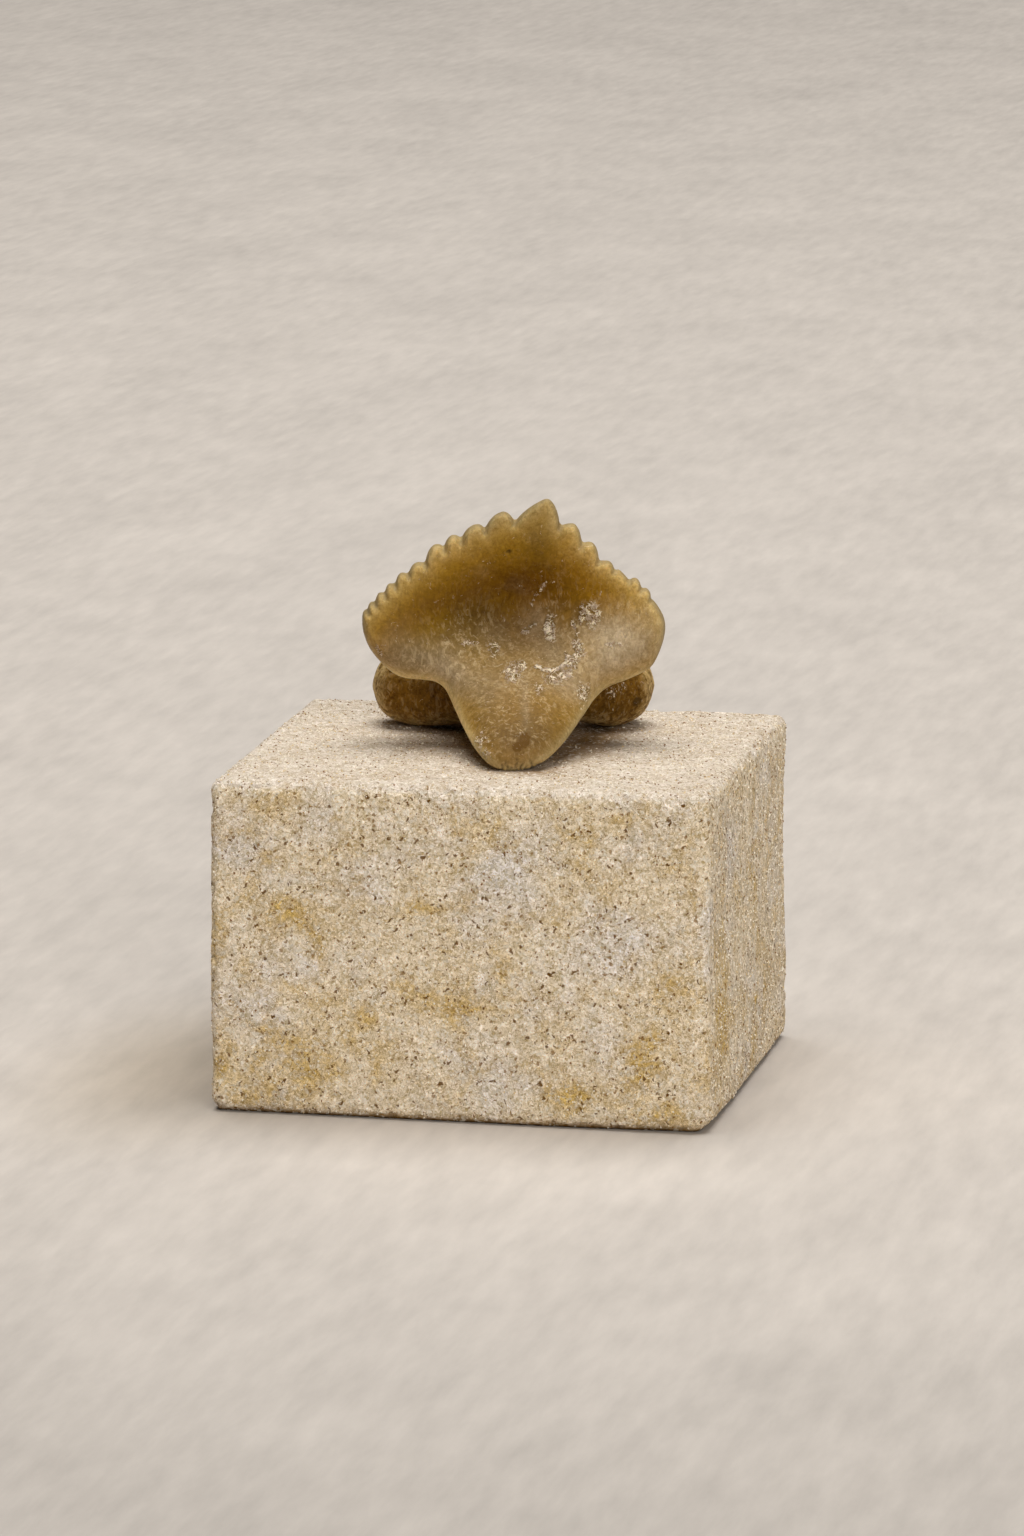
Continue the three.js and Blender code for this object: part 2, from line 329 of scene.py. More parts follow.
def setShader(material, inputs):
    fill(material.node_tree, material.node_tree.nodes["Principled BSDF"], inputs)
    return material


def tints(finish):
    return {name: colour(*paint) for name, paint in finish["paints"].items()}


def finishPiece(piece, node):
    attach(piece, "root")
    if node:
        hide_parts(node)


toothForm = {
    "spot": (0.92, 0.43, 27),  # where its own origin is on the block's top, in mm
    "turn": 11.6,  # degrees, to the block's right
    # left to right along the rim: tip, the notch after it, how bowed its left and right sides are
    "cusplets": [
        ((-11.95, 10.85), (-11.69, 10.85), (0.5, 0.9)), ((-11.42, 11.5), (-11.07, 11.4), (0.8, 1)),
        ((-10.66, 12.3), (-10.3, 12.05), (0.9, 1)), ((-9.93, 13), (-9.47, 12.75), (0.9, 1)),
        ((-8.98, 13.85), (-8.42, 13.55), (0.9, 1)), ((-7.68, 14.65), (-7.08, 14.4), (0.9, 1)),
        ((-6.2, 16.1), (-5.58, 15.65), (0.9, 1)), ((-4.85, 16.85), (-4.2, 16.3), (0.9, 1)),
        ((-2.95, 17.75), (-2.32, 17.15), (0.85, 1)), ((-0.85, 18.85), (0, 17.8), (0.75, 0.85)),
        ((2.6, 20), (3.65, 17.45), (0.4, 0.9)), ((4.65, 17.85), (5.4, 16), (0.95, 1)),
        ((6.05, 16.3), (6.77, 14.65), (0.95, 1)), ((7.45, 14.75), (8, 13.95), (0.9, 1)),
        ((8.35, 14.1), (9.22, 13.2), (0.1, 0.1)), ((9.65, 13.45), (10.14, 12.5), (0.9, 1)),
        ((10.46, 12.65), (10.93, 11.85), (0.9, 1))],
    # from the rim's right end round the right shoulder, the apron and the left shoulder
    "skirt": [
        (11.5, 11.15), (12, 10.1), (12.05, 9), (11.7, 7.6), (11.1, 6.4), (10.2, 5.75), (8.95, 5.2),
        (7.6, 4.75), (6.6, 4.1), (5.25, 2.8), (3.9, 1.6), (2.4, 0.55), (0.9, 0.02), (-0.5, -0.1), (-1.7, 0.2),
        (-2.75, 0.95), (-3.8, 2.15), (-4.7, 3.4), (-5.5, 4.6), (-6.3, 5.1), (-7.4, 5.25), (-8.6, 5.35),
        (-9.6, 5.7), (-10.65, 6.6), (-11.6, 7.85), (-12.05, 9.2), (-12.12, 10.3)],
    "heart": (0.8, 7.3),  # the middle that the crown's rings close on
    # profiles: at each height, how far forward (below 0) or back (above 0) the surface is
    "frontCentre": [
        (0, -12.2), (0.7, -12), (2, -10.5), (3.5, -8), (5, -5.2), (6.5, -2.6), (8, -0.3), (9, 1), (10.3, 1.9),
        (12, 1.7), (13.5, 1), (15, 0.2), (17, -0.6), (18.5, -1), (20, -1.3)],
    "backCentre": [
        (0, -9.4), (1, -7.9), (2, -5), (3, -1), (4, 2.6), (5.5, 5.6), (7.5, 7), (9, 7), (10.5, 6.4),
        (12, 5.6), (13.5, 4.7), (15, 3.7), (17, 2.2), (18.5, 1), (20, -0.1)],
    "frontShoulder": [(4, -1.6), (6, -2.2), (8, -2.5), (10, -2.3), (12, -1.9), (14, -1.5), (18, -1.4)],
    "backShoulder": [(4, 1.2), (6, 3), (8, 3.8), (10, 2.6), (12, 0.9), (14, 0.2), (18, 0)],
    "centreWidth": [(2, 12), (4.5, 7.5), (7, 6), (10, 6.5), (14, 8), (20, 9)],
    "rimRound": 0.52, "bodyRound": 2.6, "rimReach": 7,
    # the root, from its left foot over the middle to its right foot: x, y, z, half height, half depth
    "root": [
        (-11.5, 9.3, 3.1, 0, 0), (-10.6, 9.25, 3.05, 2.15, 2.3), (-8.3, 8.9, 2.95, 3, 3.3),
        (-5.5, 7.9, 3.9, 3.75, 4), (-2.7, 6.6, 5.4, 4.7, 4.6), (0.1, 6.1, 6.3, 4.7, 4.8),
        (2.9, 6.6, 5.6, 4.4, 4.6), (5.7, 7.7, 4, 3.6, 4), (8.3, 8.5, 2.93, 3, 3.3),
        (10.5, 8.75, 3.15, 2.15, 2.3), (11.4, 8.8, 3.25, 0, 0)],
    "rootFlatness": 0.75,
    "furrow": (0.2, 1.1, 1),  # where it runs, its depth and half width
    # how many steps it is laid out in, and how they crowd together
    "cuspletSteps": 10, "skirtSteps": 330, "rings": 72, "ringsCrowd": 1.25,
    "cuspletsFrom": 0.7,  # where the cusplets begin, of the way out, and over how much of it they rise
    "cuspletsOver": 0.25,
    "rootSteps": 170, "rootSides": 120, "rootCrowd": 0.6,
    "voxel": 0.148,
    "settleRounds": 9, "settleSteps": [0.5, -0.53],
    "filletRounds": 90, "filletStep": 0.6, "filletReach": 1.1,
}


def crownOutlines(form, cuspletSteps, skirtSteps):
    # the outline, and the same points with the cusplets levelled to the line of their notches
    toothed, levelled = [], []
    notch = form["skirt"][-1]
    t = np.arange(cuspletSteps)[:, None] / cuspletSteps
    arc = np.hstack([1 - np.cos(t * math.pi / 2), np.sin(t * math.pi / 2)])
    for tip, after, bow in form["cusplets"]:
        up = blend(np.array(notch), np.array(tip), blend(t, arc, bow[0]))
        down = blend(np.array(after), np.array(tip), blend(t, arc, bow[1]))[:0:-1]
        run = np.vstack([up, [tip], down])
        toothed.append(run)
        levelled.append(blend(np.array(notch), np.array(after), np.arange(len(run))[:, None] / len(run)))
        notch = after
    rest = evenRun([notch] + form["skirt"], skirtSteps + 1)[:-1]
    return np.vstack(toothed + [rest]), np.vstack(levelled + [rest])


def distanceTo(outline, places):
    best = np.full(len(places), np.inf)
    for a, b in zip(outline, np.roll(outline, -1, 0)):
        best = np.minimum(best, offLine(places, a, b))
    return best


def crownDepths(form, places, fromEdge):
    # the front and back of the crown, from its profiles at the centre and at the shoulders
    x, z = places.T
    rim = [form["skirt"][-1]] + [notch for _, notch, _ in form["cusplets"]]
    inward = fade(x, along(form["centreWidth"], z))
    front = blend(along(form["frontShoulder"], z), along(form["frontCentre"], z), inward)
    back = blend(along(form["backShoulder"], z), along(form["backCentre"], z), inward)
    below = smooth((along(rim, x) - z) / form["rimReach"])
    near = np.clip(fromEdge / blend(form["rimRound"], form["bodyRound"], below), 0, 1)
    full = np.sqrt(1 - (1 - near) ** 2)
    middle = (front + back) / 2
    return blend(middle, front, full), blend(middle, back, full)


def ringFaces(inner, outer, count, flip):
    k = np.arange(count)
    n = (k + 1) % count
    quad = np.stack([inner + k, inner + n, outer + n, outer + k], 1)
    return (quad[:, ::-1] if flip else quad).tolist()


def crownShell(form):
    # rings of points from the heart out to the outline, in front and behind
    outline, levelled = crownOutlines(form, form["cuspletSteps"], form["skirtSteps"])
    count = len(outline)
    shares = 1 - (1 - np.linspace(0, 1, form["rings"] + 2)[1:-1]) ** form["ringsCrowd"]
    heart = np.array(form["heart"])
    places = [heart[None]]
    for share in shares:
        edge = blend(levelled, outline, smooth((share - form["cuspletsFrom"]) / form["cuspletsOver"]))
        places.append(blend(heart, edge, share))
    places = np.vstack(places)
    ahead, behind = crownDepths(form, places, distanceTo(outline, places))
    rim = crownDepths(form, outline, np.zeros(count))[0]
    inner = len(places)
    points = np.vstack([np.stack([x, y, z], 1) for (x, z), y in (
        (places.T, ahead), (places.T, behind), (outline.T, rim))])
    faces = []
    for side in (0, 1):
        start = side * inner
        fan = [(start, start + 1 + (k + 1) % count, start + 1 + k) for k in range(count)]
        faces += [f[::-1] for f in fan] if side else fan
        for ring in range(len(shares)):
            here = start + 1 + ring * count
            there = 2 * inner if ring == len(shares) - 1 else here + count
            faces += ringFaces(here, there, count, side == 1)
    return points, faces


def rootShell(form):
    # rings of points round the root's line, closed at both feet
    steps, sides = form["rootSteps"], form["rootSides"]
    even = np.arange(steps + 1) / steps
    t = blend(even, (1 - np.cos(math.pi * even)) / 2, form["rootCrowd"])  # the rings crowd towards the feet
    knots = np.linspace(0, 1, len(form["root"]))
    line = np.array(form["root"], float)
    centre = smoothRun(line[:, :3], t)
    rise, back = (along(list(zip(knots, line[:, k])), t) for k in (3, 4))
    angle = 2 * math.pi * np.arange(sides) / sides
    c, s = np.cos(angle), np.sin(angle)
    where, deep, wide = form["furrow"]
    furrow = deep * np.maximum(0, c)[None] * fade(centre[:, :1] - where, wide)
    height = np.where(s < 0, -np.abs(s) ** form["rootFlatness"], s)
    points = np.stack([np.repeat(centre[:, :1], sides, 1),
                       centre[:, 1:2] + back[:, None] * c - furrow,
                       centre[:, 2:3] + rise[:, None] * height], 2)[1:-1].reshape(-1, 3)
    first, last = len(points), len(points) + 1
    points = np.vstack([points, centre[:1], centre[-1:]])
    faces = []
    for ring in range(steps - 2):
        faces += ringFaces((ring + 1) * sides, ring * sides, sides, False)
    end = (steps - 2) * sides
    for k in range(sides):
        n = (k + 1) % sides
        faces += [(first, n, k), (last, end + k, end + n)]
    return points, faces


def buildTooth(form):
    crown, crownFaces = crownShell(form)
    root, rootFaces = rootShell(form)
    faces = crownFaces + [[i + len(crown) for i in f] for f in rootFaces]
    tooth = meshObject("fossilTooth", np.vstack([crown, root]), faces)
    join = tooth.modifiers.new("join", "REMESH")
    join.mode = "VOXEL"
    join.voxel_size = form["voxel"]
    mesh = settle(tooth)
    points = meshVectors(mesh.vertices, "co")
    edges = np.empty(len(mesh.edges) * 2, np.int64)
    mesh.edges.foreach_get("vertices", edges)
    edges = edges.reshape(-1, 2)
    print("tooth remeshed,", len(points), "points")
    # the voxel steps go first, with no shrinking, then the crease between crown and root is filled
    points = relax(points, edges, form["settleRounds"], form["settleSteps"])
    away = np.array([[tree.find(p)[2] for p in points] for tree in (nearestTree(crown), nearestTree(root))])
    crease = fade(away.max(0), form["filletReach"])
    points = relax(points, edges, form["filletRounds"], [form["filletStep"] * crease[:, None]])
    return tooth, points, away


tooth, toothPoints, toothAway = buildTooth(toothForm)
reportShape("tooth", toothPoints)


def placeTooth(form, points):
    # from the tooth's own place to where it stands on the block
    turn = math.radians(form["turn"])
    c, s = math.cos(turn), math.sin(turn)
    x, y, z = points.T
    return (np.stack([x * c - y * s, x * s + y * c, z], 1) + form["spot"]) * mm


toothMarks = {
    # pale crust left in the hollows: x, y, z, half width, half height, any lean in degrees, strength
    "crust": [
        (6.15, -0.3, 10.6, 0.62, 0.8, 20, 1), (5.5, 0, 10.6, 0.3, 0.9, -10, 0.7),
        (2.8, 0.6, 9.5, 0.4, 0.8, -15, 0.78), (3, 0.2, 8.9, 0.3, 0.5, 0.75),
        (0.96, 0.7, 9.05, 0.35, 0.22, 30, 0.9), (1.5, 0.7, 9.4, 0.3, 0.15, 20, 0.7),
        (3.5, -3.1, 6.1, 1, 0.4, 10, 0.8), (4.6, -2.2, 7, 0.5, 0.45, 40, 0.85),
        (5.1, -1.5, 8.1, 0.35, 0.7, 25, 0.8), (-1.6, -0.8, 7.8, 0.4, 0.4, 0.7),
        (-0.1, -2.9, 6.3, 0.6, 0.55, 30, 0.8), (0.4, -2.4, 6.9, 0.5, 0.25, 0.6),
        (5.5, -3.4, 4.8, 0.45, 0.5, 0.8), (7.8, -1.9, 8.45, 0.6, 0.2, 0.6), (8, 5.1, 3.05, 0.6, 0.6, 20, 0.3),
        (8.6, 5, 4.1, 0.3, 0.9, 10, 0.4), (-2.7, -9.2, 2, 0.8, 0.7, 30, 0.33),
        (-2.2, -10.2, 1.2, 0.5, 0.5, 0.3), (-10.7, -1.7, 7.9, 0.15, 0.6, 20, 0.8),
        (-3.6, -1.2, 8.3, 0.9, 0.16, 0.5), (2, -4.6, 5.2, 0.4, 0.4, 0.5)],
    # fine raised threads of the same crust: their points (x, z), half width, strength
    "threads": [
        ([(1.76, 6.7), (2.4, 6.5), (3.04, 6.42), (3.7, 6.62), (4.3, 7.1)], 0.1, 1.9),
        ([(4.3, 7.1), (4.8, 7.45), (5.3, 7.95)], 0.09, 1.2),
        ([(3.2, 6.45), (3.9, 6.25), (4.6, 6.5)], 0.08, 1.3),
        ([(3.9, 6.75), (4.2, 7.4), (4.1, 7.7)], 0.08, 1.2),
        ([(1.4, 11), (1.6, 11.6), (2.1, 12.2), (2.5, 12.9)], 0.14, 0.42),
        ([(4.6, 9.9), (5, 9.3), (4.9, 8.6)], 0.1, 0.8),
        ([(-0.6, 6.2), (-0.1, 6.5), (0.5, 6.4), (0.9, 6.6)], 0.07, 1.2)],
    # the olive of the dish, also darker as painted shade in its hollow under the cusplets: x, z, half width,
    # half height, any lean, strength
    "dishOliveAndShade": [
        (1.6, 12.8, 4.8, 2.8, -6, 1), (-3.6, 12.2, 4.4, 1.9, 12, 0.75), (-7.2, 11, 3, 1.4, 25, 0.55),
        (6.2, 12.2, 3, 2.2, -30, 0.55), (0.5, 10.2, 4.5, 1.6, 0.6), (-9.8, 9, 2.6, 2.6, 20, 0.5),
        (-10.6, 6.8, 1.6, 1.6, 0.4), (1, 8.8, 3.2, 1.4, 0.7)],
    # the apron, browner in its own colour and darker as painted shade on its upward slope
    "apron": [(0.6, 1, 4.6, 3.4, 1), (0.4, 3.8, 3.8, 2.8, 0.8)],
    # greyer, paler skin
    "bloom": [
        (-8, 7.2, 4.2, 1.7, 8, 0.62), (-4.9, 6, 2.2, 1.6, -30, 0.6), (8.3, 7.9, 3.2, 2, 25, 0.9),
        (8.2, 8.8, 3.2, 2.2, 0.8), (2.2, 9.6, 1.6, 1.3, 0.4), (-1.8, 8.6, 2, 1.2, 0.35),
        (-1.4, 5.6, 3.2, 1.5, 0.6), (0.9, 3.8, 0.5, 2.1, 3, 0.75), (4.6, 5.4, 2.4, 1.5, -25, 0.7),
        (3.2, 7.4, 3.4, 1.4, 0.4)],
    # painted light (above 0) and painted shade (below 0) on stretches of the skin
    "paintedLightAndShade": [
        (6.9, 8.6, 2.6, 2.6, 0.2), (2.1, 10, 1.6, 1.8, 0.12), (9.4, 9.6, 1.8, 2.4, 0.15),
        (4.4, 8.8, 2, 1.6, 0.12), (6.6, 12.6, 1.8, 2, 0.25), (1.2, 8, 1.8, 1.4, 0.15),
        (-5.9, 9.3, 2.6, 1.5, -0.28), (-8, 7.5, 2.2, 1.5, -0.24), (-3.5, 10.9, 2.5, 1.4, -0.18),
        (2.1, 15.6, 1.5, 2.2, -0.22), (-2.6, 4.6, 1.2, 2, 10, -0.2), (1.4, 2.4, 4.2, 1.5, -0.37),
        (-3.6, 8.4, 1.6, 1.2, -0.12), (3.2, 8.2, 1.2, 1.2, -0.1), (5.1, 10.2, 0.5, 1, -20, -0.35),
        (7.6, 8, 1.6, 1.2, 0.1), (0.2, 8.2, 4, 1.2, -0.15), (-2.4, 10.3, 2.2, 1.3, -0.2),
        (0, 12.4, 1.6, 1.6, -0.14), (5.4, 15.6, 2.6, 2.4, 0.26), (-6.2, 15.7, 3, 1.6, 20, 0.22),
        (9.6, 13, 1.6, 1.4, 0.15), (1.9, 17.2, 1.2, 1.8, -0.1), (-11.2, 8.2, 0.9, 1.2, 0.22),
        (10.1, 7.9, 1.2, 1, -0.15)],
    # the same on the root: painted shade low on the right foot, painted light on the left foot
    "rootLight": [(7.6, 1.8, 2.8, 1.2, -0.3), (-9.4, 2.8, 2, 1.4, 0.2)],
    # frosted skin, where the pale crumbs and threads are thickest
    "frost": [
        (2.4, 6.2, 4.2, 2.4, 0.8), (0.2, 3.6, 3, 2.6, 0.7), (-5.2, 7.2, 4.6, 2, 10, 0.9),
        (8.2, 8.4, 3.6, 2.6, 20, 1), (4.4, 10.2, 2.2, 2.6, 0.7), (-3.4, 9.4, 3, 1.2, 0.5)],
    # amber stains at the apron's tip
    "amber": [(0.8, 2.2, 0.44, 0.5, -25, 1.1), (0.2, 1.75, 0.34, 0.3, 1)],
    # where they are, how wide and how deep
    "pits": [((-0.4, 0, 15.65), 0.16, 0.22), ((9.93, 6.1, 2.36), 0.3, 0.3), ((-9.6, 6.6, 2.2), 0.2, 0.2),
             ((0.2, -11.5, 0.95), 0.12, 0.1)],
    "cracks": [-1, -0.55, -0.2, 0.22, 0.6, 0.92, 1.35, 1.75, 2.1],  # short upright cracks along the apron's lip
    "crackTop": 0.75, "crackWaver": 0.1, "crackWidth": 0.09, "crackDepth": 0.07,
    "cracksBefore": -9,  # they end this far forward
    "fluteLength": 1.7,  # the shallow groove that runs down from each notch
    "fluteDepth": 0.05, "fluteWidth": 0.2,
    "fluteLean": (0.35, 1),  # the grooves run more down than in
    "rimWidth": 0.7, "skirtWidth": 0.6, "lipWidth": 0.2,
    "crustDepth": 2.5,  # how far back or forward a patch of crust reaches
    "crustFall": 0.9,
}


def leaning(across, high, lean=0):
    # the same place, measured along and across a line that leans by so many degrees
    c, s = math.cos(math.radians(lean)), math.sin(math.radians(lean))
    return across * c + high * s, high * c - across * s


def patchStrength(points, marks):
    total = np.zeros(len(points))
    for x, y, z, wide, high, *lean, strength in marks["crust"]:
        u, v = leaning(points[:, 0] - x, points[:, 2] - z, *lean)
        d = np.sqrt((u / wide) ** 2 + (v / high) ** 2 + ((points[:, 1] - y) / marks["crustDepth"]) ** 2)
        total = np.maximum(total, strength * np.exp(-marks["crustFall"] * d ** 2))
    return total


def cloudStrength(points, marks, facing):
    # soft clouds laid over one another, seen from the front
    total = np.zeros(len(points))
    for x, z, wide, high, *lean, strength in marks:
        u, v = leaning(points[:, 0] - x, points[:, 2] - z, *lean)
        total = 1 - (1 - total) * (1 - strength * np.exp(-(u / wide) ** 2 - (v / high) ** 2))
    return total * facing


def threadStrength(plan, threads, facing):
    total = np.zeros(len(plan))
    for run, wide, strength in threads:
        run = np.array(run)
        best = np.min([offLine(plan, a, b) for a, b in zip(run[:-1], run[1:])], axis=0)
        total = np.maximum(total, strength * fade(best, wide))
    return total * facing


def beyondNotches(form, plan):
    # how far places are out past the line of the notches, seen from the heart
    heart = np.array(form["heart"])
    notches = np.array([notch for _, notch, _ in form["cusplets"]])
    notches = notches[np.argsort(np.arctan2(*(notches - heart).T))]
    ring = np.concatenate([blend(a, b, np.linspace(0, 1, 12)[:, None]) for a, b in zip(notches, notches[1:])])
    tree = nearestTree(np.column_stack([ring, np.zeros(len(ring))]))
    nearest = [tree.find((x, z, 0))[1] for x, z in plan]
    return np.linalg.norm(plan - heart, axis=1) - np.linalg.norm(ring[nearest] - heart, axis=1)


def fluteDepth(form, marks, plan):
    # the shallow grooves that run down from the notches
    heart = np.array(form["heart"])
    deepest = np.zeros(len(plan))
    for _, notch, _ in form["cusplets"]:
        inward = (heart - notch) / np.linalg.norm(heart - notch) * marks["fluteLean"]
        inward /= np.linalg.norm(inward)
        t = np.clip((plan - notch) @ inward, 0, marks["fluteLength"])
        off = np.linalg.norm(plan - notch - t[:, None] * inward, axis=1)
        deepest = np.maximum(deepest, marks["fluteDepth"] * (1 - smooth(t / marks["fluteLength"]))
                             * fade(off, marks["fluteWidth"]))
    return deepest


def crackStrength(marks, points):
    total = np.zeros(len(points))
    for k, x in enumerate(marks["cracks"]):
        top = marks["crackTop"] + 0.25 * math.sin(k * 2.3)  # they end at differing heights
        waver = marks["crackWaver"] * np.sin(points[:, 2] * 5 + k)
        line = fade(points[:, 0] - x - waver, marks["crackWidth"])
        total = np.maximum(total, line * smooth((top - points[:, 2]) / 0.3))
    return total * (points[:, 1] < marks["cracksBefore"])


def markTooth(form, marks, thing, points, away):
    # low relief, and the masks that the enamel's colours follow
    setMeshPoints(thing.data, points)
    normals = meshVectors(thing.data.vertex_normals, "vector")
    plan = points[:, [0, 2]]
    edge = distanceTo(crownOutlines(form, 6, 120)[0], plan)
    crown = smooth((away[1] - away[0] + 0.2) / 0.5)
    facing = smooth((0.25 - normals[:, 1]) / 0.5) * crown
    beyond = beyondNotches(form, plan)
    pitted = np.max([deep * fade(np.linalg.norm(points - spot, axis=1), wide)
                     for spot, wide, deep in marks["pits"]], axis=0)
    cracks = crackStrength(marks, points)
    sink = np.max([fluteDepth(form, marks, plan), pitted, marks["crackDepth"] * cracks], axis=0)
    points = points - normals * (sink * crown.clip(0.3, 1))[:, None]
    x, z = points[:, 0], points[:, 2]
    # the rim is painted paler, for its lighter enamel and as painted glow where its thin edge lets light
    # through, and so is the skirt's edge, lower down
    thinRim = (0.8 * smooth((beyond + 1.9) / 2.9) * smooth((z - 6) / 1.5)
               * (0.42 + 0.58 * fade(edge, marks["rimWidth"])))
    thinSkirt = fade(edge, marks["skirtWidth"]) * smooth((7.5 - z) / 2)
    # painted light along the crown's lower edges, on its left side and nose
    paintedSideLight = (0.5 * crown * fade(edge, marks["rimWidth"]) * smooth((8.5 - z) / 2.5) * smooth((z - 0.8) / 1.5)
                * smooth(1 - x / 3))
    return points, {
        "crust": np.maximum(patchStrength(points, marks), threadStrength(plan, marks["threads"], facing)),
        **{name: cloudStrength(points, marks[name], facing) for name in ("dishOliveAndShade", "bloom", "amber")},
        "apron": cloudStrength(points, marks["apron"], crown),
        "cracks": cracks,
        "frost": cloudStrength(points, marks["frost"], crown) + 0.35 * (1 - crown),
        "paintedLightAndShade": sum(cloudStrength(points, [mark], facing) for mark in marks["paintedLightAndShade"])
        + sum(cloudStrength(points, [mark], 1 - crown) for mark in marks["rootLight"]) + paintedSideLight,
        "rimPaleAndGlow": crown * np.maximum(thinRim, thinSkirt),
        # painted light on the root's lobes, where they turn away from the front
        "lobeRimPaintedLight": (1 - crown) * smooth((0.9 + normals[:, 1]) / 0.6) * 0.8,
        # painted shade: a dark line along the crown's upper edges
        "paintedEdgeShade": fade(edge, marks["lipWidth"]) * crown * smooth((z - 5) / 2),
        "pit": smooth(pitted / 0.1),
        "rootness": 1 - crown,
        "calm": smooth((z - 0.05) / 0.5),
    }


def standOn(thing, height):
    # cuts the mesh level and closes the cut, which leaves the flat spots that the tooth stands on
    mesh = bmesh.new()
    mesh.from_mesh(thing.data)
    everything = mesh.verts[:] + mesh.edges[:] + mesh.faces[:]
    cut = bmesh.ops.bisect_plane(mesh, geom=everything, plane_co=(0, 0, height), plane_no=(0, 0, 1),
                                 clear_inner=True)["geom_cut"]
    rim = [e for e in cut if isinstance(e, bmesh.types.BMEdge)]
    flats = bmesh.ops.holes_fill(mesh, edges=rim, sides=0)["faces"]
    bmesh.ops.triangulate(mesh, faces=flats)
    bmesh.ops.recalc_face_normals(mesh, faces=mesh.faces[:])
    mesh.to_mesh(thing.data)
    mesh.free()
    print("tooth marked, on", len(flats), "flat spots")


toothPoints, toothValues = markTooth(toothForm, toothMarks, tooth, toothPoints, toothAway)
setMeshPoints(tooth.data, placeTooth(toothForm, toothPoints))
addAttributes(tooth.data, toothValues)
standOn(tooth, toothForm["spot"][2] * mm)


enamelFinish = {
    "paints": {  # from 0 to 255
        "honey": (162, 123, 33), "rim": (204, 180, 126), "paintedEdgeShade": (118, 106, 84), "deep": (108, 70, 4),
        "bloom": (168, 149, 120), "apron": (137, 104, 54), "amber": (90, 60, 8), "root": (112, 77, 18),
        "lobe": (196, 166, 108), "frost": (214, 190, 148), "shade": (88, 62, 16), "crust": (248, 230, 200),
        "lilac": (182, 160, 138), "pit": (52, 36, 12)},
    "roughness": 0.55, "shine": 0.06,
    "bumpStrength": 0.6, "bumpDepth": 0.08 * mm,
    "waxiness": 0.22, "waxDepth": 0.8 * mm,
    # patterns: cells to the mm, detail, roughness, twist
    "cloud": (0.35, 3), "fleck": (1.6, 4, 0.65, 0.6), "grain": (4.6, 2, 0.6, 0.4),
    "strand": (3.2, 2, 0.5, 0.7), "curl": (1.5, 2, 0.5, 1.5),
    "frostPatch": (0.7, 3, 0.6), "crustPatch": (1.6, 3),
}


def crumbPattern(kit, crust):
    # where the crust has broken into crumbs and curled threads
    noise, ramp = kit.noise, kit.ramp
    broken = noise(2, 3, 0.5, 1.2) - 0.5
    curls = abs(noise(1.2, 2, 0.5, 1.6) - 0.5).least(abs(noise(2.3, 1, 0.5, 0.9) - 0.5))
    thread = ramp(curls, 0.06, 0.022) * ramp(crust + broken * 1.2, 0.16, 0.4)
    return ramp(crust + broken * 2.6, 1.16, 1.3).most(thread)


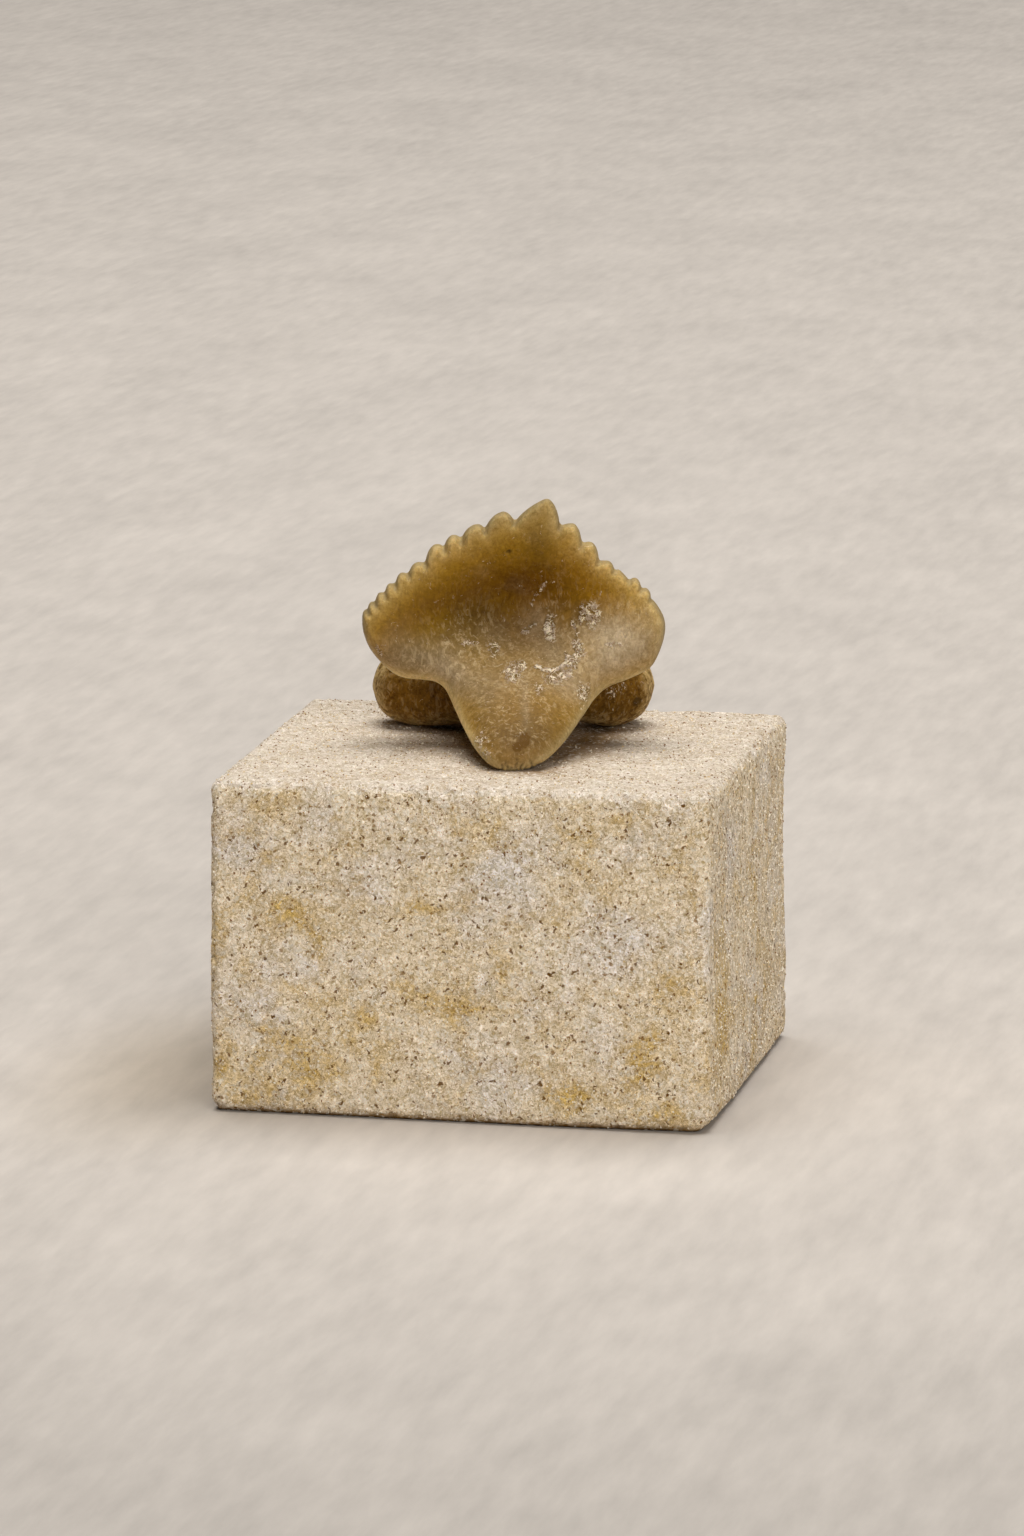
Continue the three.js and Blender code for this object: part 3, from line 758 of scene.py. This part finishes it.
def enamelMaterial(finish):
    material, kit = newMaterial("fossilEnamel")
    mark, noise, ramp = kit.mark, kit.noise, kit.ramp
    tint = tints(finish)
    cloud = noise(*finish["cloud"]) - 0.5
    fleck, grain = noise(*finish["fleck"]), noise(*finish["grain"])
    strand = noise(*finish["strand"], kit.turned(kit.place, (1, 1, 0.3)))
    curl = noise(*finish["curl"], kit.turned(kit.place, (1, 1, 0.4), (0.5, 0.9, 0.3)))
    stroke = ramp(abs(curl - 0.5), 0.075, 0.025) * ramp(fleck, 0.48, 0.6)
    pale = (ramp(strand, 0.55, 0.68) * 0.6).most(stroke * ramp(noise(*finish["frostPatch"]), 0.4, 0.6))
    dark = ramp(strand, 0.44, 0.34) * ramp(fleck, 0.4, 0.6)
    body = kit.coat(
        tint["honey"], tint,
        # olive in the dish, with painted shade in the hollow
        ("deep", (mark("dishOliveAndShade") + cloud * 0.5).held()),
        ("bloom", (mark("bloom") + cloud * 0.5).held()),
        # the apron's brown, with painted shade
        ("apron", mark("apron") * (1 - mark("bloom") * 0.5)),
        # paler enamel and painted glow along the thin edges
        ("rim", mark("rimPaleAndGlow") * 0.85),
        ("root", mark("rootness")),
        # painted light on the lobes' rims, broken by flecks
        ("lobe", mark("lobeRimPaintedLight") * ramp(fleck, 0.25, 0.6)))
    # painted light and shade over the whole skin
    body = kit.vector("SCALE", body, 0.94 + mark("paintedLightAndShade"))
    mottle = (grain - 0.5) * 0.8 + (fleck - 0.5) * 1.1
    body = kit.toned(body, mottle * (1 + mark("rootness")))
    crumbled = crumbPattern(kit, mark("crust"))
    body = kit.coat(
        body, tint,
        ("shade", dark * 0.35),
        ("frost", pale * (0.05 + mark("frost") * 0.6)),
        ("amber", ramp(mark("amber") + (grain - 0.5), 0.3, 0.5) * 0.9),
        # painted shade along the crown's upper edges
        ("paintedEdgeShade", mark("paintedEdgeShade") * 0.5),
        ("pit", mark("pit").most(mark("cracks")) * 0.7),
        # painted shade round the raised crust
        ("shade", ramp(mark("crust"), 0.1, 0.5) * 0.42))
    crust = kit.mix(tint["crust"], tint["lilac"], ramp(noise(*finish["crustPatch"]), 0.42, 0.58))
    body = kit.mix(body, crust, crumbled * 0.9)
    height = (fleck * 0.6 + grain * 0.35) + (pale * 0.3 + crumbled * 0.9)
    return setShader(material, {
        "Base Color": body,
        "Roughness": finish["roughness"] + crumbled * 0.35 + (grain - 0.5) * 0.3,
        "Normal": kit.bump(height, finish["bumpStrength"], finish["bumpDepth"]),
        "Subsurface Weight": finish["waxiness"],
        "Subsurface Radius": (1, 0.6, 0.25),
        "Subsurface Scale": finish["waxDepth"],
        "Specular IOR Level": finish["shine"],
    })


toothSkin = {
    "Swell size": 0.45, "Swell height": 0.05 * mm,
    "Grain size": 1.9, "Grain height": 0.025 * mm,
    "Crust height": 0.1 * mm, "Crumbs": 5.0e6, "Crumb size": 0.09 * mm, "Seed": 4,
}


def skinTree(controls, material):
    # swells and roughens the skin along its normals, then scatters crumbs where the crust is
    kit, control = geometryTree("wornSkin", controls)
    crust, calm = kit.mark("crust"), kit.mark("calm")
    crumbled = crumbPattern(kit, crust)
    lift = crumbled * control["Crust height"]
    lift = lift + (kit.noise(control["Swell size"]) - 0.5) * control["Swell height"]
    lift = lift + (kit.noise(control["Grain size"], 3) - 0.5) * control["Grain height"]
    skin = kit.pushed(control["Geometry"], lift * calm)
    crumb = kit.add("GeometryNodeMeshIcoSphere", {"Radius": 1, "Subdivisions": 1})
    crumbs = kit.scattered(
        skin, crust * crumbled * calm * control["Crumbs"], kit.named(crumb, "crust", 1, "POINT"),
        (0.5, 0.5, 0.4), (1.5, 1.2, 1), control["Crumb size"], control["Seed"])
    both = kit.add("GeometryNodeJoinGeometry")
    for part in (crumbs, skin):
        kit.tree.links.new(part.socket, both.node.inputs[0])
    return kit.close(both, material)


runTree(tooth, skinTree(toothSkin, enamelMaterial(enamelFinish)), toothSkin)
tooth.data.shade_smooth()
finishPiece(tooth, "tooth")
print("tooth finished,", len(tooth.data.polygons), "faces")

blockForm = {
    # its corners in mm, going round from the front left
    "top": [(-19.6, -18.8), (19.9, -17.4), (20.1, 18.8), (-20, 18.4)],
    "bottom": [(-20.1, -17.5), (20.3, -17.9), (20.3, 18.3), (-20.3, 17.9)],
    "half": (20, 18, 13.5),
    "edgeRadius": 1, "footRadius": 1, "wornRadius": 1.7,
    "unevenness": 0.07,
    "waves": (5.1, 3.7, 4.3, 6.1),  # its spacing across and up the front, then across and up the sides
    "cells": (142, 130, 94),
    "rests": [(2.98, -10.12), (-8.81, 7.47), (7.11, 10.36)],  # where the tooth stands on it
    "restReach": 2.2,
    "topFrom": 26.5,  # what is higher than this belongs to its top
    # where shadow is painted in brown on its top, about the tooth's feet: middle, reach in each direction,
    # strength
    "dust": [
        ((6.2, 4), (2.8, 4.5), 0.9), ((6.8, -1.5), (2.6, 4), 0.5), ((6.3, 8.6), (2.8, 2.6), 0.97),
        ((5, -10), (2.3, 1.7), 0.65), ((5, -3), (1.9, 3.6), 0.65), ((-6.3, 6.6), (3, 2.3), 0.9),
        ((-7.6, 1.2), (2.6, 2.4), 0.3), ((-4.5, -3.5), (2.4, 3), 0.2), ((1.5, -10.8), (2.2, 1.4), 0.4),
        ((0.5, 1), (3.5, 7), 0.7)],
    "footDust": 0.35,  # how high the painted shade along its foot reaches
    "chipReach": 0.9,  # how far from an edge its chips reach
}


def boxLattice(cells):
    # the points and quads of a box's skin, on whole-number steps
    places, faces = [], []
    for axis in range(3):
        u, v = [a for a in range(3) if a != axis]
        for end in (0, cells[axis]):
            i, j = np.meshgrid(np.arange(cells[u]), np.arange(cells[v]), indexing="ij")
            ring = []
            for di, dj in ((0, 0), (1, 0), (1, 1), (0, 1)):
                p = np.zeros((i.size, 3), int)
                p[:, axis] = end
                p[:, u] = i.ravel() + di
                p[:, v] = j.ravel() + dj
                ring.append(p)
            if (end == 0) != (axis == 1):
                ring = ring[::-1]
            faces.append(np.stack(ring, 1))
    faces = np.vstack(faces)
    points, index = np.unique(faces.reshape(-1, 3), axis=0, return_inverse=True)
    return points, index.reshape(-1, 4)


def buildBlock(form):
    # a rounded box, whose corners are then pulled out of square
    lattice, faces = boxLattice(form["cells"])
    unit = lattice / np.array(form["cells"]) * 2 - 1
    half = np.array(form["half"], float)
    x, y, z = unit.T
    worn = smooth((x + 0.2) / 1.2) * smooth((-y + 0.2) / 1.2) * smooth((-z + 0.4) / 1.4)
    radius = blend(form["edgeRadius"], form["footRadius"], smooth(-4 * z - 2.5))
    radius = blend(radius, form["wornRadius"], worn ** 4)[:, None]
    p = unit * half
    core = np.clip(p, radius - half, half - radius)
    away = p - core
    q = core + away / np.maximum(np.linalg.norm(away, axis=1), 1e-9)[:, None] * radius
    x, y, z = q.T
    frontAcross, frontUp, sideAcross, sideUp = form["waves"]
    waves = np.sin(x / frontAcross + z / frontUp) + np.sin(y / sideAcross - z / sideUp + 1)
    swell = (form["unevenness"] * smooth((1 - np.abs(z) / half[2]) * 4) * waves)[:, None]
    share = q / half
    s = (share + 1) / 2

    def planOf(corners):
        a, b, c, d = np.array(corners, float)
        return blend(blend(a, b, s[:, :1]), blend(d, c, s[:, :1]), s[:, 1:2])

    plan = blend(planOf(form["bottom"]), planOf(form["top"]), s[:, 2:]) + swell * share[:, :2] ** 3
    points = np.column_stack([plan, z + half[2]])
    return meshObject("sandstoneBlock", points * mm, faces.tolist()), points


block, blockPoints = buildBlock(blockForm)
reportShape("block", blockPoints)

stoneMarks = {
    # rusty and ochre clouds: x, y, z, reach in each direction, strength
    "ochre": [
        (-13.8, -18, 16.5, 1.8, 1.4, 0.7), (-11.8, -18, 14.4, 2.2, 2, 0.8), (0.3, -18, 9.3, 2.4, 1.8, 0.9),
        (17.4, -17, 12.2, 1.6, 2, 0.9), (15, -17, 6, 2.2, 2.2, 1), (9.6, -17.5, 2.6, 2.4, 1.2, 0.8),
        (13.3, -17, 24.5, 1.8, 1.6, 0.7), (10.2, -17, 22.5, 1.3, 1.6, 0.7), (-12.5, -18, 4.6, 4.2, 3, 0.9),
        (-15.1, -18, 25, 1.6, 2.2, 0.6), (-18.8, -18, 3, 1.8, 3, 0.9), (16.6, -17, 2.4, 2.5, 1.6, 0.8),
        (-2, -18.4, 17.3, 3.2, 0.5, 0.8), (-7.6, -18.2, 8.4, 2.6, 1.6, 0.4), (-19, -18, 13.5, 0.9, 2.4, 0.7),
        # the clouds at x 20.2 lie on the right face: ochre, and also darkening that side as painted shade
        (-7.5, -14, 27, 2.6, 1.6, 0.8), (-4.5, -16, 27, 1.8, 0.9, 0.7), (20.2, -12, 9, 3, 5, 0.95),
        (20.2, 3, 5, 4, 4, 0.6), (20.2, 2, 15, 2.4, 5.2, 0.5), (20.2, 9, 20, 2, 4, 0.4),
        (3.5, -18, 12.5, 1.8, 1.4, 0.4)],
    # cool grey clouds
    "grey": [
        (-17.3, -18, 22, 3, 2.2, 0.8), (-12.2, -18, 12, 3, 1.8, 0.6), (4.9, -18, 20.5, 3.6, 2.6, 0.7),
        (8.8, -18, 11, 4.2, 3.4, 0.5), (-5, -18, 20.5, 3.2, 2.2, 0.5), (12, -17.5, 15.5, 3, 2.4, 0.5),
        (-16.2, -18, 8, 2.4, 2.2, 0.5), (5.5, -18, 5, 3, 2.2, 0.5), (20.2, -8, 20, 5, 3.4, 0.4)],
}


def gathered(places, marks):
    # soft clouds laid over one another: the middle of each, its reach along each axis, its strength
    total = np.zeros(len(places))
    for middle, reach, strength in marks:
        total = 1 - (1 - total) * (1 - strength * np.exp(-(((places - middle) / reach) ** 2).sum(1)))
    return total


def markBlock(form, marks, mesh, points):
    # the masks that the stone's relief and colours follow
    height, onTop = points[:, 2], points[:, 2] > form["topFrom"]
    rests = np.min([np.hypot(points[:, 0] - x, points[:, 1] - y) for x, y in form["rests"]], axis=0)
    rests = np.where(onTop, rests, 99)
    half = np.array(form["half"])
    fromEdge = np.maximum(np.sort(half - np.abs(points - [0, 0, half[2]]), axis=1)[:, 1], 0)
    clouds = {name: [((x, y, z), (wide, max(wide, 1.5), high), strength)
                     for x, y, z, wide, high, strength in rows] for name, rows in marks.items()}
    addAttributes(mesh, {
        "calm": smooth(rests / form["restReach"]) * smooth(height / 0.25),
        "edge": fade(fromEdge, form["chipReach"]),
        # painted shadow on the top under the tooth, and painted shade along the foot
        "paintedShade": np.maximum(gathered(points[:, :2], form["dust"]) * onTop, fade(height, form["footDust"])),
        "upward": smooth((meshVectors(mesh.vertex_normals, "vector")[:, 2] - 0.15) / 0.5),
        **{name: gathered(points, rows) for name, rows in clouds.items()}})


markBlock(blockForm, stoneMarks, block.data, blockPoints)

stoneFinish = {
    "paints": {  # from 0 to 255
        "cream": (240, 221, 190), "ochre": (222, 188, 112), "rust": (154, 117, 54), "grey": (240, 229, 216),
        # top: the paint of upward faces, greyer like dust, and darker than the sides as painted shade
        "dark": (110, 74, 22), "brown": (142, 102, 40), "pale": (250, 243, 228), "top": (222, 207, 187),
        # the last paint is the brown of the painted shadow
        "slate": (170, 162, 148), "dust": (126, 88, 30)},
    "roughness": 0.92, "shine": 0.1,
    "bumpStrength": 0.8, "bumpDepth": 0.12 * mm,
    # patterns: cells to the mm, detail, roughness, twist
    "broad": (0.17, 4, 0.55, 0.6), "patch": (0.3, 5, 0.62, 0.8), "mid": (1.3, 4, 0.6, 0.8),
    "fine": (4.4, 2, 0.6, 0.5), "crease": (1.5, 4, 0.62, 1.6), "worm": (2.2, 2, 0.5, 1.5),
    "grainCells": 4.2, "gapCells": 3,
    # dark specks: cells to the mm, share of the cells, greatest reach, softness of the edge
    "small": (2.4, 0.5, 0.34, 0.07),
    "big": (0.95, 0.42, 0.14, 0.035),
    "dash": (1.75, 0.38, 0.24, 0.04),
    "dash2": (1.6, 0.38, 0.24, 0.04),
    "dashShape": (0.75, 0.75, 2),
}


def sandstoneMaterial(finish):
    material, kit = newMaterial("paleSandstone")
    mark, noise, ramp = kit.mark, kit.noise, kit.ramp
    tint = tints(finish)

    def moved(at, *shift):
        return kit.vector("ADD", at, shift)

    def specks(at, scale, chance, reach, edge):
        # dots of differing size in a share of the cells
        cells = kit.cells(at, scale)
        return ramp(cells - ramp(kit.dice(cells)[0], 1 - chance, 1) * reach, edge, -edge)

    def dashes(turn, size):
        return specks(kit.turned(shaken, finish["dashShape"], turn, "TEXTURE"), *size)

    # clouds, grain and creases
    other = moved(kit.place, 37, 11, 5)
    shaken = kit.vector("MULTIPLY_ADD", noise(3)["Color"], (0.5, 0.5, 0.5), other)
    broad, patch = noise(*finish["broad"]), noise(*finish["patch"], other)
    mid, fine = noise(*finish["mid"]), noise(*finish["fine"], shaken)
    crease = noise(*finish["crease"], other)
    dice = kit.dice(kit.cells(shaken, finish["grainCells"]))
    ochre = (mark("ochre") + (patch - 0.51) * 3.6).held()
    grey = (mark("grey") + (broad - 0.49) * 3.6).held()
    body = kit.coat(
        tint["cream"], tint,
        # upward faces: greyer like dust, and darker as painted shade
        ("grey", grey), ("ochre", ochre * ramp(mid, 0.3, 0.58)), ("top", mark("upward")))
    gap = ramp(kit.cells(shaken, finish["gapCells"], "DISTANCE_TO_EDGE"), 0.1, 0.02)
    tone = (dice[0] - 0.5) * 0.3 + (fine - 0.5) * 0.6 - gap * 0.14 + (mid - 0.5) * 0.75
    body = kit.toned(body, tone * (1.1 - mark("upward") * 0.5))
    worm = noise(*finish["worm"], moved(kit.place, 4, 8, 2)) - 0.5
    ridge = ramp(abs(worm), 0.07, 0.03)
    body = kit.toned(body, ridge * 0.22 - ramp(abs(worm - 0.1), 0.05, 0.015) * 0.28)
    # painted shadow, browner and darker, under the tooth and along the foot; single pale and slate grains,
    # rust, dark specks
    body = kit.mix(body, tint["dust"], mark("paintedShade"))
    body = kit.vector("SCALE", body, 1 - ramp(mark("paintedShade"), 0.7, 1) * 0.6)
    rusty = ramp(ochre, 0.15, 0.85) * ramp(crease, 0.5, 0.62)
    small, big = specks(shaken, *finish["small"]), specks(moved(shaken, 9, 3, 1), *finish["big"])
    dash = dashes((0.3, 0.9, 0.4), finish["dash"]).most(dashes((0.2, -0.7, 0.5), finish["dash2"]))
    clear = 1 - mark("upward") * 0.4
    body = kit.coat(
        body, tint,
        ("pale", ramp(dice[1], 0.78, 0.95) * 0.5),
        ("slate", ramp(dice[2], 0.72, 0.9) * grey * 0.4),
        ("rust", rusty * (0.12 + ramp(fine, 0.56, 0.42) * 0.6)),
        ("rust", ramp(abs(crease - 0.47), 0.034, 0.008) * ramp(patch, 0.4, 0.54) * 0.6),
        ("brown", small * clear * 0.75),
        ("dark", (dash * 0.9).most(big) * clear))
    height = (fine + ridge * 0.5) + (small.most(dash.most(big)) * -0.4 + mid * 0.5)
    return setShader(material, {
        "Base Color": body,
        "Roughness": finish["roughness"],
        "Normal": kit.bump(height, finish["bumpStrength"], finish["bumpDepth"]),
        "Specular IOR Level": finish["shine"],
    })


stoneSkin = {
    "Swell size": 0.3, "Swell height": 0.22 * mm,
    "Grain size": 1.3, "Grain height": 0.1 * mm,
    "Pit size": 0.55, "Pit depth": 0.16 * mm,
    "Chip size": 1.1, "Chip depth": 0.34 * mm,
    "Sink": 0.1 * mm,
}


def stoneTree(controls, material):
    # swells, grain and pits all over, and chips along the edges, all a little under the sawn faces
    kit, control = geometryTree("sawnSkin", controls)
    chip = kit.ramp(kit.noise(control["Chip size"], 3, 0.6), 0.48, 0.68)
    lift = (kit.noise(control["Swell size"]) - 0.5) * control["Swell height"]
    lift = lift + (kit.noise(control["Grain size"], 4) - 0.5) * control["Grain height"]
    pit = kit.cells(kit.place, control["Pit size"])
    lift = lift - kit.ramp(pit, 0.28, 0.08, "LINEAR") * control["Pit depth"]
    lift = lift - chip * kit.mark("edge") * control["Chip depth"]
    return kit.close(kit.pushed(control["Geometry"], (lift - control["Sink"]) * kit.mark("calm")), material)


runTree(block, stoneTree(stoneSkin, sandstoneMaterial(stoneFinish)), stoneSkin)
block.data.shade_smooth()

looseSand = {"Grains": 2.6e6, "Grain size": 0.1 * mm, "Seed": 11}  # grains to the square metre

grainFinish = {
    "paints": {"pale": (246, 237, 218), "honey": (212, 184, 132), "brown": (128, 84, 20)},
    "roughness": 0.6, "shine": 0.4,
}


def grainTree(controls, material):
    # angular grains half sunk in the skin, each with a tone of its own
    kit, control = geometryTree("looseSand", controls)
    # no loose grains where shadow is painted
    bare = (1 - kit.mark("paintedShade")).held()
    grain = kit.add("GeometryNodeMeshUVSphere", {"Segments": 4, "Rings": 2, "Radius": 1})
    grains = kit.scattered(
        control["Geometry"], kit.mark("calm") * bare * control["Grains"], grain,
        (0.5, 0.5, 0.5), (1.4, 1.1, 1.1), control["Grain size"], control["Seed"])
    tone = kit.add("FunctionNodeRandomValue", {2: 0, 3: 1, "Seed": control["Seed"]}, data_type="FLOAT")[1]
    return kit.close(kit.named(grains, "tone", tone, "INSTANCE"), material)


def grainMaterial(finish):
    material, kit = newMaterial("sandGrain")
    tint = tints(finish)
    tone = kit.mark("tone")
    body = kit.coat(
        tint["pale"], tint, ("honey", kit.ramp(tone, 0.45, 0.75)), ("brown", kit.ramp(tone, 0.8, 0.84)))
    return setShader(material, {
        "Base Color": body, "Roughness": finish["roughness"], "Specular IOR Level": finish["shine"]})


grains = bpy.data.objects.new("sandGrains", block.data.copy())
bpy.context.collection.objects.link(grains)
runTree(grains, grainTree(looseSand, grainMaterial(grainFinish)), looseSand)
finishPiece(block, "stone_block")
finishPiece(grains, None)
print("block finished,", len(block.data.polygons), "faces, and", len(grains.data.polygons), "on its grains")

studio = {
    "floor": (188, 180, 171),
    "floorSize": 6,
    "floorRoughness": 0.9,
    # the paper's grain and its clouds: cells to the mm, detail, roughness; then their shares of the brightness
    "felt": (0.5, 4, 0.6),
    "clouds": (0.16, 4, 0.55),
    "shares": (0.64, 0.36, 0.3),
    "stretch": (1, 0.2, 1),
    "slant": ((0.35, 1, 1), (0, 0, 0.55)),
    "feltBump": (0.15, 0.2 * mm),
    # where its brightness changes over the depth, in mm, and by how much: painted light nearer the front,
    # painted shade far behind
    "near": (-150, -20),
    "far": (300, 900),
    "changes": (0.22, 0.03),
    "level": 0.875,
    "brightness": 1.055,
    # a warm painted shadow on the floor at the block's left foot
    "duskShift": (26, 4, 0),
    "duskShape": (0.09, 0.04, 0),
    "duskReach": (1.5, 0.1),
    "duskTint": (-0.2, -0.24, -0.31),
    "cameraPlace": (0.12211, -0.59078, 0.14235),
    "cameraAim": (0.00076, 0.0004, 0.02504),
    "lens": 180, "sensor": 36,
    "sky": (1, 0.98, 0.95),
    "skyStrength": 0.02,
    # name, place, aim, size, power, tint
    "lamps": [
        ("overhead", (0, 0.2, 2.2), (0, 0, 0), 1.8, 59.5, (1, 0.99, 0.98)),
        ("key", (1.07, -1.96, 0.9), (0, 0, 0.03), 1.4, 31.5, (1, 0.985, 0.965))],
}


def paperMaterial(look):
    material, kit = newMaterial("palePaper")
    drawn = kit.turned(kit.place, look["stretch"])
    slant = kit.turned(drawn, *look["slant"])
    felt, clouds = kit.noise(*look["felt"], at=drawn), kit.noise(*look["clouds"], at=slant)
    depth = kit.add("ShaderNodeSeparateXYZ", {"Vector": kit.place})[1]
    near, far = kit.ramp(depth, *look["near"]), kit.ramp(depth, *look["far"])
    plain, feltShare, cloudShare = look["shares"]
    nearGain, farLoss = look["changes"]
    # painted light nearer the front and painted shade far behind
    level = look["level"] + (near * nearGain - far * farLoss)
    shade = (plain + (felt * feltShare + clouds * cloudShare)) * (level * look["brightness"])
    paper = kit.vector("SCALE", colour(*look["floor"])[:3], shade)
    # painted shadow on the floor by the block's left foot
    shifted = kit.vector("ADD", kit.place, look["duskShift"])
    away = kit.vector("LENGTH", kit.vector("MULTIPLY", shifted, look["duskShape"]))["Value"]
    floorShadow = kit.ramp(away, *look["duskReach"])
    paper = kit.vector("MULTIPLY", paper, kit.vector("MULTIPLY_ADD", floorShadow, look["duskTint"], (1, 1, 1)))
    return setShader(material, {
        "Base Color": paper, "Roughness": look["floorRoughness"], "Normal": kit.bump(felt, *look["feltBump"])})


def aim(thing, place, target):
    thing.location = place
    thing.rotation_euler = (Vector(target) - Vector(place)).to_track_quat("-Z", "Y").to_euler()
    bpy.context.collection.objects.link(thing)


def setStudio(look):
    scene = bpy.context.scene
    view = bpy.data.cameras.new("camera")
    view.sensor_fit = "VERTICAL"
    view.sensor_height = look["sensor"]
    view.lens = look["lens"]
    scene.camera = bpy.data.objects.new("camera", view)
    aim(scene.camera, look["cameraPlace"], look["cameraAim"])
    half = look["floorSize"] / 2
    corners = np.array([(-half, -half, 0), (half, -half, 0), (half, half, 0), (-half, half, 0)])
    floor = meshObject("floor", corners, [(0, 1, 2, 3)])
    floor.data.materials.append(paperMaterial(look))
    for name, place, target, size, power, tint in look["lamps"]:
        lamp = bpy.data.lights.new(name, "AREA")
        lamp.size = size
        lamp.energy = power
        lamp.color = tint
        aim(bpy.data.objects.new(name, lamp), place, target)
    scene.world = bpy.data.worlds.new("studio")
    scene.world.use_nodes = True
    fill(scene.world.node_tree, scene.world.node_tree.nodes["Background"], {
        "Color": (*look["sky"], 1), "Strength": look["skyStrength"]})
    scene.view_settings.view_transform = "Standard"


setStudio(studio)
print("studio set")
